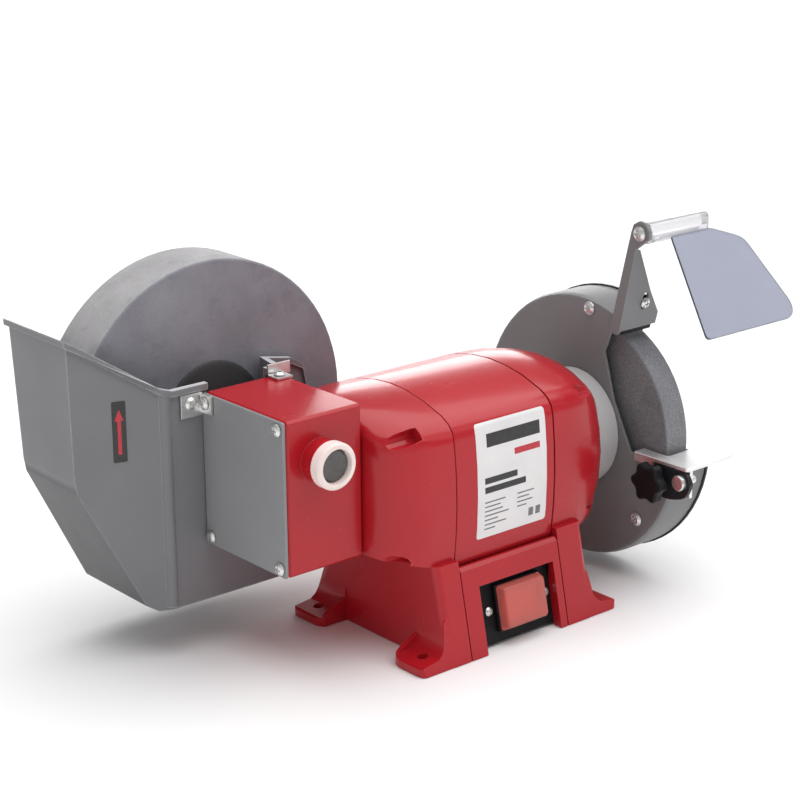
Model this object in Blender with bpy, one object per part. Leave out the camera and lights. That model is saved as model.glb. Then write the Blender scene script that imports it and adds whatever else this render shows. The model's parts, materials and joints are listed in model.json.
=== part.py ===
"""Wet and dry bench grinder: one motor drives a dry wheel directly and a wet wheel through a worm.

The object stands on the plane z = 0, centred on its base. +X runs along the motor's shaft towards
the dry wheel, +Y to the back and +Z up. Sizes below are in millimetres; meshes are made in metres.
"""
import math

import bmesh
import bpy
from mathutils import Matrix, Vector

MM = 0.001

# Motor and housing
MOTOR_Z = 98.4            # height of the motor's shaft
HOUSING_HALF = 62.5       # half the width of the rounded square housing
CROWN_RADIUS = 125.0      # its top and bottom are shallow arcs
SIDE_RADIUS = 295.0       # its front and back bow out very slightly
STATOR_RADIUS = 56.6
SEAM_LEFT = -43.0         # where the end castings meet the centre shell
SEAM_RIGHT = 38.3
BELL_LEFT = -93.5         # outer ends of the two bells
BELL_RIGHT = 93.5
STACK = (-30.0, 26.0)     # the stator and rotor cores
SEAM_GAP = 0.9            # a shadow line shows where the castings meet

# Base
BASE_TOP = 57.0
BASE_Y = -11.6            # the base stands a little forward of the shaft
BASE_TOP_HALF = 53.4      # its front and back slope outwards going down
BASE_FOOT_HALF = 65.4
BASE_CORNER = 5.0
FRONT_WALL = 6.9          # thicker, around the switch's recess
WALL = 4.0
FOOT_HOLE = (72.0, 51.3)    # from the base's middle
FOOT_HOLE_RADIUS = 3.6
CRADLE = (31.3, 35.3)     # the shelf under the centre shell
GLAND = (20.0, 18.0)
GLAND_Y = 52.6            # face of the boss that the cable gland sits on

# Worm gear and the wet wheel's shaft
WET_X = -126.3
WET_Z = 139.1
CENTRE_DISTANCE = WET_Z - MOTOR_Z
MODULE = 1.9
WHEEL_TEETH = 22
WHEEL_PITCH_RADIUS = MODULE * WHEEL_TEETH / 2
WORM_PITCH_RADIUS = CENTRE_DISTANCE - WHEEL_PITCH_RADIUS
WORM_PITCH = math.pi * MODULE
TOOTH_SHARE = 0.43        # of the pitch, which leaves backlash
WET_SHAFT_RADIUS = 8.0
RUNNING_GAP = 0.08

# Gearbox
BOX_X = (-149.9, -93.8)
BOX_Y = (-34.7, 46.0)
BOX_Z = (70.1, 166.9)
BOX_WALL = 3.5
PLATE_X = (-152.1, -150.2)

# Wet wheel and trough
WET_RADIUS = 100.0
WET_Y = (72.7, 112.7)
WET_FLANGE_RADIUS = 36.2
TROUGH_WALL = 1.8
TROUGH_NOTCH = 22.0       # half the width of the slot for the shaft
TAB_SCREW = (-161.5, 162.0)
TOP_SCREW = (-99.5, 38.5)

# Dry wheel and guard
DRY_RADIUS = 75.0
DRY_X = (127.4, 147.4)
DRY_FLANGE_RADIUS = 25.0
GUARD_X = (119.0, 149.5)
GUARD_RADIUS = 90.0
GUARD_SHEET = 1.8
NECK_RADIUS = 40.0
NECK_X = 93.8
OPENING = [(-50.5, 91.7), (-34.0, 123.0), (-24.7, 154.5), (-35.0, 182.0), (-110.0, 190.0),
           (-110.0, 91.7)]
GUARD_SCREWS = [(-11.0, 181.7), (-58.5, 47.0), (70.0, 60.0)]

# Eye shield and tool rest
SHIELD_PIVOT = (-57.0, 240.0)
WEB_LOW = 172.0
WEB_LEAN = 0.222
WEB_THICK = 2.2
ARRESTOR_SCREW = (135.5, 189.0)
REST_KNOB = (-79.0, 81.0)
REST_BOLT = (-99.0, 84.5)
REST_TRAVEL = 6.0

# Switch
RECESS_X = (-30.0, 32.8)
RECESS_TOP = 43.0
PANEL_X = (-32.5, 36.3)
PANEL_Z = (1.5, 43.6)
PANEL_Y = (-65.3, -62.9)
PANEL_LEAN = 11.9         # degrees, as the base's front
SWITCH_X = (-15.0, 23.5)
SWITCH_Z = (8.0, 38.4)
ROCKER_TILT = 7.0

MATERIALS = {
    "red_paint": ((0.50, 0.012, 0.016), 0.28, 0.0),
    "grey_paint": ((0.29, 0.29, 0.31), 0.45, 0.1),
    "guard_grey": ((0.33, 0.33, 0.34), 0.42, 0.1),
    "plate_grey": ((0.36, 0.36, 0.37), 0.40, 0.6),
    "grey_stone": ((0.22, 0.20, 0.22), 0.90, 0.0),
    "dry_stone": ((0.14, 0.14, 0.15), 0.90, 0.0),
    "zinc": ((0.70, 0.70, 0.71), 0.32, 0.9),
    "steel": ((0.55, 0.55, 0.56), 0.30, 1.0),
    "lamination": ((0.25, 0.25, 0.26), 0.50, 0.8),
    "copper": ((0.60, 0.25, 0.12), 0.40, 0.9),
    "bronze": ((0.55, 0.36, 0.16), 0.35, 0.9),
    "black_plastic": ((0.015, 0.015, 0.016), 0.45, 0.0),
    "dark_steel": ((0.05, 0.05, 0.055), 0.50, 0.5),
    "cream_plastic": ((0.80, 0.76, 0.70), 0.40, 0.0),
    "rocker_red": ((0.70, 0.03, 0.02), 0.25, 0.0),
    "clear": ((0.80, 0.80, 0.86), 0.10, 0.0),
    "cover_red": ((0.85, 0.20, 0.14), 0.20, 0.0),
    "capacitor": ((0.62, 0.62, 0.64), 0.45, 0.0),
}


def clear_scene():
    """Remove what a new Blender file holds."""
    for obj in list(bpy.data.objects):
        bpy.data.objects.remove(obj, do_unlink=True)


def material(name):
    """The named material, made on first use."""
    if name in bpy.data.materials:
        return bpy.data.materials[name]
    colour, roughness, metallic = MATERIALS[name]
    made = bpy.data.materials.new(name)
    made.use_nodes = True
    shader = made.node_tree.nodes["Principled BSDF"]
    shader.inputs["Base Color"].default_value = (*colour, 1.0)
    shader.inputs["Roughness"].default_value = roughness
    shader.inputs["Metallic"].default_value = metallic
    if name == "clear":
        shader.inputs["Transmission Weight"].default_value = 0.9
    return made


def finish(name, bm, look, origin=(0, 0, 0)):
    """Turn a bmesh in world millimetres into an object whose origin is at the given point."""
    bmesh.ops.recalc_face_normals(bm, faces=bm.faces)
    shift = Vector(origin)
    for vert in bm.verts:
        vert.co = (vert.co - shift) * MM
    mesh = bpy.data.meshes.new(name)
    bm.to_mesh(mesh)
    bm.free()
    obj = bpy.data.objects.new(name, mesh)
    obj.location = shift * MM
    bpy.context.scene.collection.objects.link(obj)
    if look:
        mesh.materials.append(material(look))
    smooth(obj)
    return obj


def smooth(obj):
    """Shade round stretches smooth and keep real edges crisp."""
    obj.data.shade_smooth()
    obj.data.set_sharp_from_angle(angle=math.radians(32))


def place(axis, along, first, second):
    """A point from its distance along an axis and its two other coordinates, in x, y, z order."""
    return {"X": (along, first, second), "Y": (first, along, second), "Z": (first, second, along)}[axis]


def join_rings(bm, rings, closed=False):
    """Quads between neighbouring rings; a ring of one vertex makes a fan."""
    pairs = list(zip(rings, rings[1:]))
    if closed:
        pairs.append((rings[-1], rings[0]))
    for low, high in pairs:
        count = max(len(low), len(high))
        for i in range(count):
            j = (i + 1) % count
            corners = [low[i % len(low)], low[j % len(low)], high[j % len(high)], high[i % len(high)]]
            corners = list(dict.fromkeys(corners))
            if len(corners) > 2:
                bm.faces.new(corners)


def lathe(name, look, profile, axis, centre, segments=48, origin=None):
    """Turn (radius, distance along the axis) points about an axis through centre."""
    bm = bmesh.new()
    rings = []
    for radius, along in profile:
        count = segments if radius > 0 else 1
        turn = [2 * math.pi * i / count for i in range(count)]
        ring = [(centre[0] + radius * math.cos(t), centre[1] + radius * math.sin(t)) for t in turn]
        rings.append([bm.verts.new(place(axis, along, *point)) for point in ring])
    join_rings(bm, rings, closed=profile[0][0] > 0)
    return finish(name, bm, look, origin or place(axis, 0, *centre))


def prism(name, look, outline, axis, span, bevel=0.0, origin=(0, 0, 0), steps=1):
    """Extrude an outline of its two coordinates across the axis, with its ends rounded if asked."""
    bm = bmesh.new()
    rings = [[bm.verts.new(place(axis, along, *point)) for point in outline] for along in span]
    join_rings(bm, rings)
    bm.faces.new(rings[0])
    bm.faces.new(rings[1])
    if bevel:
        bmesh.ops.recalc_face_normals(bm, faces=bm.faces)
        round_edges(bm, bevel, steps)
    return finish(name, bm, look, origin)


def round_edges(bm, width, steps=1, angle=40):
    """Bevel every edge that is sharper than the angle in degrees."""
    sharp = [e for e in bm.edges if e.is_manifold and e.calc_face_angle(0) > math.radians(angle)]
    bmesh.ops.bevel(bm, geom=sharp, offset=width, segments=steps, affect="EDGES", profile=0.5,
                    clamp_overlap=True)


def box(name, look, xs, ys, zs, bevel=0.0, origin=(0, 0, 0), steps=1):
    """A block between the given limits."""
    outline = [(ys[0], zs[0]), (ys[1], zs[0]), (ys[1], zs[1]), (ys[0], zs[1])]
    return prism(name, look, outline, "X", xs, bevel, origin, steps)


def loft(name, look, outlines, axis, stations):
    """A solid through outlines that have the same number of points."""
    bm = bmesh.new()
    rings = [[bm.verts.new(place(axis, along, *point)) for point in outline]
             for outline, along in zip(outlines, stations)]
    join_rings(bm, rings)
    bm.faces.new(rings[0])
    bm.faces.new(rings[-1])
    return finish(name, bm, look)


def rod(name, look, radius, span, axis, centre, segments=48, chamfer=0.0, origin=None):
    """A plain cylinder, with chamfered ends if asked."""
    low, high = span
    if chamfer:
        profile = [(0, low), (radius - chamfer, low), (radius, low + chamfer),
                   (radius, high - chamfer), (radius - chamfer, high), (0, high)]
    else:
        profile = [(0, low), (radius, low), (radius, high), (0, high)]
    return lathe(name, look, profile, axis, centre, segments, origin)


def tube(name, look, inner, outer, span, axis, centre, segments=48, chamfer=0.0):
    """A ring with a round bore."""
    low, high = span
    if chamfer:
        profile = [(inner, low), (outer - chamfer, low), (outer, low + chamfer),
                   (outer, high - chamfer), (outer - chamfer, high), (inner, high)]
    else:
        profile = [(inner, low), (outer, low), (outer, high), (inner, high)]
    return lathe(name, look, profile, axis, centre, segments)


def apply_boolean(target, tools, operation):
    """Cut, join or intersect the target with each tool in turn, and remove the tools."""
    for tool in tools:
        step = target.modifiers.new("step", "BOOLEAN")
        step.operation = operation
        step.solver = "EXACT"
        step.object = tool
    bpy.context.view_layer.update()
    graph = bpy.context.evaluated_depsgraph_get()
    mesh = bpy.data.meshes.new_from_object(target.evaluated_get(graph))
    target.modifiers.clear()
    old = target.data
    target.data = mesh
    mesh.name = target.name
    bpy.data.meshes.remove(old)
    for tool in tools:
        bpy.data.objects.remove(tool, do_unlink=True)
    tidy_mesh(target)
    return target


def tidy_mesh(obj):
    """Merge the slivers that a boolean can leave."""
    bm = bmesh.new()
    bm.from_mesh(obj.data)
    bmesh.ops.remove_doubles(bm, verts=bm.verts, dist=0.01 * MM)
    bmesh.ops.dissolve_degenerate(bm, dist=0.01 * MM, edges=bm.edges)
    bm.to_mesh(obj.data)
    bm.free()
    smooth(obj)


def cut(target, *tools):
    return apply_boolean(target, tools, "DIFFERENCE")


def join(target, *tools):
    return apply_boolean(target, tools, "UNION")


def common(target, *tools):
    return apply_boolean(target, tools, "INTERSECT")


def rounded_rectangle(low, high, radius, steps=4):
    """The outline of a rectangle between two corner points, with round corners."""
    outline = []
    corners = [(high[0], high[1], 0), (low[0], high[1], 1), (low[0], low[1], 2), (high[0], low[1], 3)]
    for x, y, quarter in corners:
        cx = x - radius if x == high[0] else x + radius
        cy = y - radius if y == high[1] else y + radius
        for i in range(steps + 1):
            angle = math.pi / 2 * (quarter + i / steps)
            outline.append((cx + radius * math.cos(angle), cy + radius * math.sin(angle)))
    return outline


def round_corners(outline, radii, steps=3):
    """Replace each corner of an outline by a smooth curve that starts the given distance away."""
    result = []
    for i, corner in enumerate(outline):
        reach = radii[i] if isinstance(radii, (list, tuple)) else radii
        here = Vector(corner)
        before = Vector(outline[i - 1]) - here
        after = Vector(outline[(i + 1) % len(outline)]) - here
        if reach <= 0:
            result.append(tuple(here))
            continue
        start = here + before.normalized() * min(reach, before.length * 0.45)
        end = here + after.normalized() * min(reach, after.length * 0.45)
        for k in range(steps + 1):
            t = k / steps
            result.append(tuple(start * (1 - t) ** 2 + here * 2 * t * (1 - t) + end * t ** 2))
    return result


# ---------------------------------------------------------------- motor housing

def housing_outline():
    """The rounded square section of the housing, as (y, z from the shaft)."""
    crown_y = 48.0
    side_z = 38.0
    corner_steps = 3
    side_steps = 2
    crown_steps = 3
    drop = CROWN_RADIUS - math.sqrt(CROWN_RADIUS ** 2 - crown_y ** 2)
    crown_z = HOUSING_HALF - drop
    side_y = HOUSING_HALF - SIDE_RADIUS + math.sqrt(SIDE_RADIUS ** 2 - side_z ** 2)
    slope = crown_y / math.sqrt(CROWN_RADIUS ** 2 - crown_y ** 2)
    peak = (side_y, crown_z - slope * (side_y - crown_y))
    quarter = []
    for i in range(side_steps):
        z = side_z * i / side_steps
        quarter.append((HOUSING_HALF - SIDE_RADIUS + math.sqrt(SIDE_RADIUS ** 2 - z * z), z))
    for i in range(corner_steps + 1):
        t = i / corner_steps
        y = side_y * (1 - t) ** 2 + peak[0] * 2 * t * (1 - t) + crown_y * t ** 2
        z = side_z * (1 - t) ** 2 + peak[1] * 2 * t * (1 - t) + crown_z * t ** 2
        quarter.append((y, z))
    for i in range(1, crown_steps + 1):
        y = crown_y * (1 - i / crown_steps)
        quarter.append((y, HOUSING_HALF - CROWN_RADIUS + math.sqrt(CROWN_RADIUS ** 2 - y * y)))
    left_top = [(-y, z) for y, z in reversed(quarter[:-1])]
    upper = quarter + left_top
    lower = [(y, -z) for y, z in reversed(upper[1:-1])]
    return upper + lower


def bell(name, start, end, end_point):
    """A bell lofted from the housing's section to a smaller end, rounded over like a dome."""
    outline = housing_outline()
    direction = 1 if end > 0 else -1
    seam = SEAM_RIGHT + SEAM_GAP if end > 0 else SEAM_LEFT - SEAM_GAP
    steps = 6
    stations = [seam, start]
    shapes = [outline, outline]
    for i in range(1, steps + 1):
        angle = math.pi / 2 * i / steps
        share = 1 - math.cos(angle)
        stations.append(start + (end - start) * math.sin(angle))
        shapes.append([(y + (end_point(y, z)[0] - y) * share, z + (end_point(y, z)[1] - z) * share)
                       for y, z in outline])
    placed = [[(y, z + MOTOR_Z) for y, z in shape] for shape in shapes]
    if direction < 0:
        placed.reverse()
        stations.reverse()
    return loft(name, "red_paint", placed, "X", stations)


def round_end(y, z):
    """The right bell ends in a circle."""
    radius = 46.0
    length = math.hypot(y, z)
    return (y / length * radius, z / length * radius)


def square_end(y, z):
    """The left bell ends in the gearbox's shape: narrower, nearly full height above the shaft."""
    return (y * 0.60, z * (0.93 if z > 0 else 0.46))


def end_casting(name, side):
    """Bell, leg and two feet of one end, cast as one piece."""
    outer_x = 62.0
    if side < 0:
        casting = bell(name, -60.0, BELL_LEFT, square_end)
        seam = SEAM_LEFT - SEAM_GAP
        end = BELL_LEFT
    else:
        casting = bell(name, 50.0, BELL_RIGHT, round_end)
        seam = SEAM_RIGHT + SEAM_GAP
        end = BELL_RIGHT
    if side < 0:
        underside = [(-60.0, 20.0), (-60.0, 61.0), (-100.0, 72.5), (-100.0, 20.0)]
        cut(casting, prism("underside", None, underside, "Y", (-80, 80)))
    join(casting, leg_block(side, seam, outer_x, 0.0))
    join(casting, foot(side, -1), foot(side, 1))
    cut(casting, leg_block(side, seam, outer_x, WALL))
    bearing_face = end - side * 2.0
    cavity_end = end - side * 9.5
    hub_end = end - side * 18.0
    inner_start = seam - side * 1.0
    waist = side * 57.0
    profile = [(0, inner_start), (54.5, inner_start), (54.5, waist), (34.0, waist + side * 4.0),
               (27.0, cavity_end), (0, cavity_end)]
    hollow = lathe("hollow", None, profile, "X", (0, MOTOR_Z), 32)
    hub = rod("hub", None, 22.0, sorted((hub_end, cavity_end + side)), "X", (0, MOTOR_Z), 24)
    cut(hollow, hub)
    cut(casting, hollow)
    pocket = rod("pocket", None, 17.8, sorted((hub_end - side, bearing_face)), "X", (0, MOTOR_Z), 24)
    hole = rod("hole", None, 9.0, sorted((hub_end, end + side)), "X", (0, MOTOR_Z), 16)
    cut(casting, pocket)
    cut(casting, hole)
    for y in (-1, 1):
        hole = rod("bolt hole", None, FOOT_HOLE_RADIUS, (-1, 40), "Z",
                   (side * FOOT_HOLE[0], BASE_Y + y * FOOT_HOLE[1]), 12)
        cut(casting, hole)
        for z in (MOTOR_Z + 46.5, MOTOR_Z - 30.5):
            pocket_axis = (y * 52.5, z)
            span = sorted((side * 66.0, side * 96.0))
            cut(casting, rod("screw pocket", None, 5.2, span, "X", pocket_axis, 12))
    return casting


def leg_block(side, seam, outer_x, inset):
    """The leg under a bell: its outside (inset 0) or the hollow within it (inset = wall)."""
    top = BASE_TOP + 5.0
    slope = (BASE_FOOT_HALF - BASE_TOP_HALF) / BASE_TOP
    rings = []
    for z, half in ((-1.0 if inset else 0.0, BASE_FOOT_HALF), (top, BASE_FOOT_HALF - slope * top)):
        far = outer_x - inset
        near = abs(seam) - (6.0 if inset else 0.0)
        depth = half - inset
        corner = BASE_CORNER - inset
        points = [(near, -depth)]
        for i in range(5):
            angle = math.pi / 2 * i / 4
            x = far - corner + corner * math.sin(angle)
            points.append((x, -depth + corner - corner * math.cos(angle)))
        back = [(x, -y) for x, y in reversed(points)]
        rings.append([(side * x, BASE_Y + y) for x, y in points + back])
    height = top - 14.0 if inset else top
    return loft("leg", None if inset else "red_paint", rings, "Z", (-1.0 if inset else 0.0, height))


def foot(side, front):
    """A bolt-down lug that rises to meet the leg's wall, with a rib along its inner edge."""
    rise = [(83.0, 0.0), (83.0, 4.6), (81.5, 5.8), (69.0, 7.6), (65.6, 10.6), (63.6, 15.0), (62.3, 22.0),
            (61.0, 29.0), (56.0, 34.0), (52.0, 34.0), (52.0, 0.0)]
    body = prism("lug", "red_paint", [(side * x, z) for x, z in rise], "Y", (-90.0, 90.0))
    rib = [(82.0, 1.0), (80.0, 6.6), (75.0, 10.2), (68.0, 13.8), (61.0, 16.8), (58.0, 17.0), (58.0, 1.0)]
    inner = BASE_Y + front * 34.9
    span = sorted((inner, inner + front * 2.8))
    join(body, prism("rib", None, [(side * x, z) for x, z in rib], "Y", span))
    corners = [(50.0, 34.9), (80.0, 34.9), (83.0, 40.4), (83.0, 62.9), (80.0, 65.4), (50.0, 65.4)]
    plan = round_corners([(side * x, BASE_Y + front * y) for x, y in corners], [0, 2, 3, 4, 3, 0], 2)
    common(body, prism("plan", None, plan, "Z", (-2.0, 32.0)))
    slope = (BASE_FOOT_HALF - BASE_TOP_HALF) / BASE_TOP
    edge = BASE_FOOT_HALF - 0.25
    drop = [(0.0, -1.0), (edge, -1.0), (edge, 0.0), (edge - 40.0 * slope, 40.0), (0.0, 40.0)]
    wedge = prism("wedge", None, [(BASE_Y + front * y, z) for y, z in drop], "X", (-100.0, 100.0))
    common(body, wedge)
    return body


def centre_shell():
    """The middle of the housing, bored for the stator."""
    outline = [(y, z + MOTOR_Z) for y, z in housing_outline()]
    shell = prism("centre_shell", "red_paint", outline, "X", (SEAM_LEFT, SEAM_RIGHT))
    span = (SEAM_LEFT - 1, SEAM_RIGHT + 1)
    return cut(shell, rod("bore", None, STATOR_RADIUS + 0.4, span, "X", (0, MOTOR_Z), 48))


def base_frame():
    """The front and back walls between the legs, with the shelf that carries the centre shell."""
    slope = (BASE_FOOT_HALF - BASE_TOP_HALF) / BASE_TOP
    front = BASE_Y - BASE_FOOT_HALF
    back = BASE_Y + BASE_FOOT_HALF
    inner_top = BASE_Y - BASE_TOP_HALF + 3.6
    shelf = slope * CRADLE[0] + WALL
    front_wall = [(front, 0.0), (front + slope * (BASE_TOP - 2.0), BASE_TOP - 2.0),
                  (front + slope * BASE_TOP + 1.5, BASE_TOP), (inner_top, BASE_TOP),
                  (inner_top, CRADLE[1])]
    back_wall = [(38.5, CRADLE[1]), (40.0, 41.4), (44.8, 42.8), (back, 0.0)]
    under = [(back - WALL, 0.0), (back - shelf, CRADLE[0]),
             (front + shelf + FRONT_WALL - WALL, CRADLE[0]), (front + FRONT_WALL, 0.0)]
    section = front_wall + back_wall + under
    frame = prism("base_frame", "red_paint", section, "X", (SEAM_LEFT, SEAM_RIGHT))
    cut(frame, box("recess", None, RECESS_X, (-90.0, inner_top), (-1.0, RECESS_TOP)))
    room = (PANEL_X[0] - 0.5, PANEL_X[1] + 0.5)
    cut(frame, box("panel room", None, room, (PANEL_Y[0] + 1.3, -36.0), (-1.0, PANEL_Z[1] + 1.0)))
    join(frame, rod("cable boss", None, 12.6, (back - 8.0, GLAND_Y), "Y", GLAND, 24))
    return cut(frame, rod("cable hole", None, 8.3, (20.0, 70.0), "Y", GLAND, 24))


def base_plate():
    """The flat cover that closes the base from below."""
    plan = rounded_rectangle((-57.0, -61.0), (57.0, 48.5), 8.0)
    return prism("base_plate", "zinc", plan, "Z", (0.0, 1.2))


def motor_inside():
    """Stator, windings, bearings and the capacitor."""
    slots = 12
    inner = []
    outer = []
    for i in range(slots):
        for share, radius in ((0.0, 42.0), (0.22, 42.0), (0.36, 28.2), (0.86, 28.2)):
            angle = 2 * math.pi * (i + share) / slots
            inner.append((radius * math.cos(angle), MOTOR_Z + radius * math.sin(angle)))
            edge = STATOR_RADIUS
            outer.append((edge * math.cos(angle), MOTOR_Z + edge * math.sin(angle)))
    bm = bmesh.new()
    rings = [[bm.verts.new((x, *p)) for p in outline]
             for outline, x in ((inner, STACK[0]), (outer, STACK[0]), (outer, STACK[1]), (inner, STACK[1]))]
    join_rings(bm, rings, closed=True)
    finish("stator_core", bm, "lamination")
    ring = [(33.0, 0.6), (49.0, 0.6), (52.0, 4.0), (52.0, 10.0), (48.0, 14.5), (37.0, 14.5), (33.0, 10.0)]
    lathe("winding_left", "copper", [(r, STACK[0] - a) for r, a in ring], "X", (0, MOTOR_Z), 24)
    lathe("winding_right", "copper", [(r, STACK[1] + a) for r, a in ring], "X", (0, MOTOR_Z), 24)
    for name, side in (("left_bearing", -1), ("right_bearing", 1)):
        face = side * (BELL_RIGHT - 2.3)
        profile = [(7.5 + RUNNING_GAP, 0), (10.0, 0), (10.0, 0.6), (15.0, 0.6), (15.0, 0), (17.5, 0),
                   (17.5, 11), (7.5 + RUNNING_GAP, 11)]
        lathe(name, "steel", [(r, face - side * a) for r, a in profile], "X", (0, MOTOR_Z), 24)
    can = [(0, -22), (10.6, -22), (11.8, -20.8), (11.8, 24), (10.6, 25.2), (0, 25.2)]
    lathe("run_capacitor", "capacitor", can, "X", (15.0, 15.5), 20)


def motor_rotor():
    """The shaft and what turns with it inside the motor."""
    shaft = [(0, -142.0), (6.0, -142.0), (6.0, -100.0), (7.5, -99.5), (7.5, -74.5), (9.0, -74.0),
             (9.0, 74.0), (7.5, 74.5), (7.5, 112.0), (6.35, 112.4), (6.35, 165.4), (0, 165.4)]
    lathe("motor_shaft", "steel", shaft, "X", (0, MOTOR_Z), 24)
    low, high = STACK
    bore = 9.3
    profile = [(bore, low - 10), (25, low - 10), (25, low), (27.6, low), (27.6, high),
               (25, high), (25, high + 10), (bore, high + 10)]
    lathe("rotor_core", "lamination", profile, "X", (0, MOTOR_Z), 32)


# ---------------------------------------------------------------- worm gear and gearbox

def worm():
    """A single-start worm: a sleeve with one helical thread."""
    root = WORM_PITCH_RADIUS - 1.2 * MODULE
    tip = WORM_PITCH_RADIUS + 0.95 * MODULE
    turns = 3.4
    per_turn = 24
    total = int(turns * per_turn)
    start = WET_X - WORM_PITCH * turns / 2
    first_turn = math.pi / 2 + 2 * math.pi * (0.5 - turns / 2)
    half_pitch = WORM_PITCH * TOOTH_SHARE / 2
    lean = math.tan(math.radians(20))
    sleeve = tube("worm", "steel", 6.3, root, (WET_X - 13.0, WET_X + 13.0), "X", (0, MOTOR_Z), 24)
    bm = bmesh.new()
    rings = []
    for i in range(total + 1):
        angle = first_turn + 2 * math.pi * i / per_turn
        x = start + WORM_PITCH * i / per_turn
        fade = min(1.0, i / 6, (total - i) / 6)
        crest = root + (tip - root) * max(fade, 0.08)
        ring = []
        for radius in (root - 1.0, crest):
            half = half_pitch + (WORM_PITCH_RADIUS - radius) * lean
            ring.append((x - half, radius))
            ring.append((x + half, radius))
        ring = [ring[0], ring[2], ring[3], ring[1]]
        across, up = math.cos(angle), math.sin(angle)
        rings.append([bm.verts.new((a, r * across, MOTOR_Z + r * up)) for a, r in ring])
    join_rings(bm, rings)
    bm.faces.new(rings[0])
    bm.faces.new(rings[-1])
    thread = finish("thread", bm, None)
    return join(sleeve, thread)


def worm_wheel():
    """The bronze wheel on the wet shaft, with its teeth skewed to the worm's lead."""
    root = WHEEL_PITCH_RADIUS - 1.15 * MODULE
    tip = WHEEL_PITCH_RADIUS + 0.9 * MODULE
    pitch_angle = 2 * math.pi / WHEEL_TEETH
    half = pitch_angle * TOOTH_SHARE / 2
    lean = math.tan(math.radians(20))
    half_width = 6.0
    lead = math.atan(MODULE / (2 * WORM_PITCH_RADIUS))
    skew = half_width * math.tan(lead) / WHEEL_PITCH_RADIUS

    def outline(turn):
        points = []
        for tooth in range(WHEEL_TEETH):
            middle = -math.pi / 2 + pitch_angle * tooth + turn
            for sign, radius in ((-1, root), (-1, tip), (1, tip), (1, root)):
                wide = half + (WHEEL_PITCH_RADIUS - radius) * lean / WHEEL_PITCH_RADIUS
                angle = middle + sign * wide
                points.append((WET_X + radius * math.cos(angle), WET_Z + radius * math.sin(angle)))
        return points

    span = (-half_width, half_width)
    wheel = loft("worm_wheel", "bronze", [outline(skew), outline(-skew)], "Y", span)
    hub = rod("hub", None, 13.0, (-10.0, 10.0), "Y", (WET_X, WET_Z), 24)
    bore = rod("bore", None, WET_SHAFT_RADIUS + 0.3, (-12.0, 12.0), "Y", (WET_X, WET_Z), 24)
    join(wheel, hub)
    cut(wheel, bore)
    return wheel


def gearbox():
    """The case, its side plate and the plate's corner screws."""
    case = box("gearbox_case", "red_paint", BOX_X, BOX_Y, BOX_Z, 1.6)
    axis = (WET_X, WET_Z)
    join(case, rod("front boss", None, 13.5, (-44.5, BOX_Y[0] + 1), "Y", axis, 32))
    join(case, rod("back boss", None, 14.5, (BOX_Y[1] - 1, 58.0), "Y", axis, 24))
    inside = box("inside", None, (BOX_X[0] - 1, BOX_X[1] - BOX_WALL),
                 (BOX_Y[0] + BOX_WALL, BOX_Y[1] - BOX_WALL), (BOX_Z[0] + BOX_WALL, BOX_Z[1] - BOX_WALL))
    sides = (BOX_Y[0] + 5.5, BOX_Y[1] - 5.5)
    ends = (BOX_Z[0] + 5.5, BOX_Z[1] - 5.5)
    corners = [(y, z) for y in sides for z in ends]
    for y, z in corners:
        post = (BOX_X[0] - 2, BOX_X[1])
        cut(inside, box("post", None, post, (y - 4.5, y + 4.5), (z - 4.5, z + 4.5)))
    cut(case, inside)
    cut(case, rod("front bore", None, 11.6, (-50.0, 0.0), "Y", axis, 24))
    cut(case, rod("back bore", None, 11.6, (0.0, 70.0), "Y", axis, 24))
    cut(case, rod("shaft hole", None, 9.0, (-100.0, -90.0), "X", (0, MOTOR_Z), 16))
    outline = rounded_rectangle((BOX_Y[0] + 0.2, BOX_Z[0] + 0.2), (BOX_Y[1] - 0.2, BOX_Z[1] - 0.2),
                                1.5, 2)
    plate = prism("gearbox_plate", "plate_grey", outline, "X", PLATE_X)
    for number, (y, z) in enumerate(corners, 1):
        cut(case, rod("tapped hole", None, 2.35, (BOX_X[0] - 1, BOX_X[0] + 12), "X", (y, z), 8))
        cut(plate, rod("screw hole", None, 2.35, (PLATE_X[0] - 1, PLATE_X[1] + 1), "X", (y, z), 8))
        face = PLATE_X[0] - (1.9 if number == len(corners) else 0.0)
        pan_screw(f"plate_screw_{number}", "X", -1, face, (y, z), 4.1, 11.0)


def pan_screw(name, axis, facing, face, centre, radius, length, stem=2.0):
    """A pan-head screw with a cross recess; facing is the side that its head looks to."""
    head = radius * 0.6
    lift = facing * 0.3
    profile = [(0, head), (radius * 0.62, head * 0.86), (radius, head * 0.3), (radius, 0), (stem, 0),
               (stem, -length), (0, -length)]
    screw = lathe(name, "zinc", [(r, face + lift + facing * a) for r, a in profile], axis, centre, 12)
    slot_depth = sorted((face + lift + facing * head * 0.45, face + lift + facing * head * 1.5))
    arm = radius * 0.55
    width = radius * 0.14
    for wide, tall in ((arm, width), (width, arm)):
        low = place(axis, slot_depth[0], centre[0] - wide, centre[1] - tall)
        high = place(axis, slot_depth[1], centre[0] + wide, centre[1] + tall)
        cut(screw, box("recess", None, (low[0], high[0]), (low[1], high[1]), (low[2], high[2])))
    return screw


def lean_over(obj, degrees, point):
    """Turn a part about the X direction through a point; a positive angle tips its top forward."""
    centre = Vector(point) * MM
    turn = Matrix.Rotation(math.radians(degrees), 4, "X")
    obj.data.transform(turn)
    obj.location = centre + turn @ (obj.location - centre)
    return obj


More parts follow.
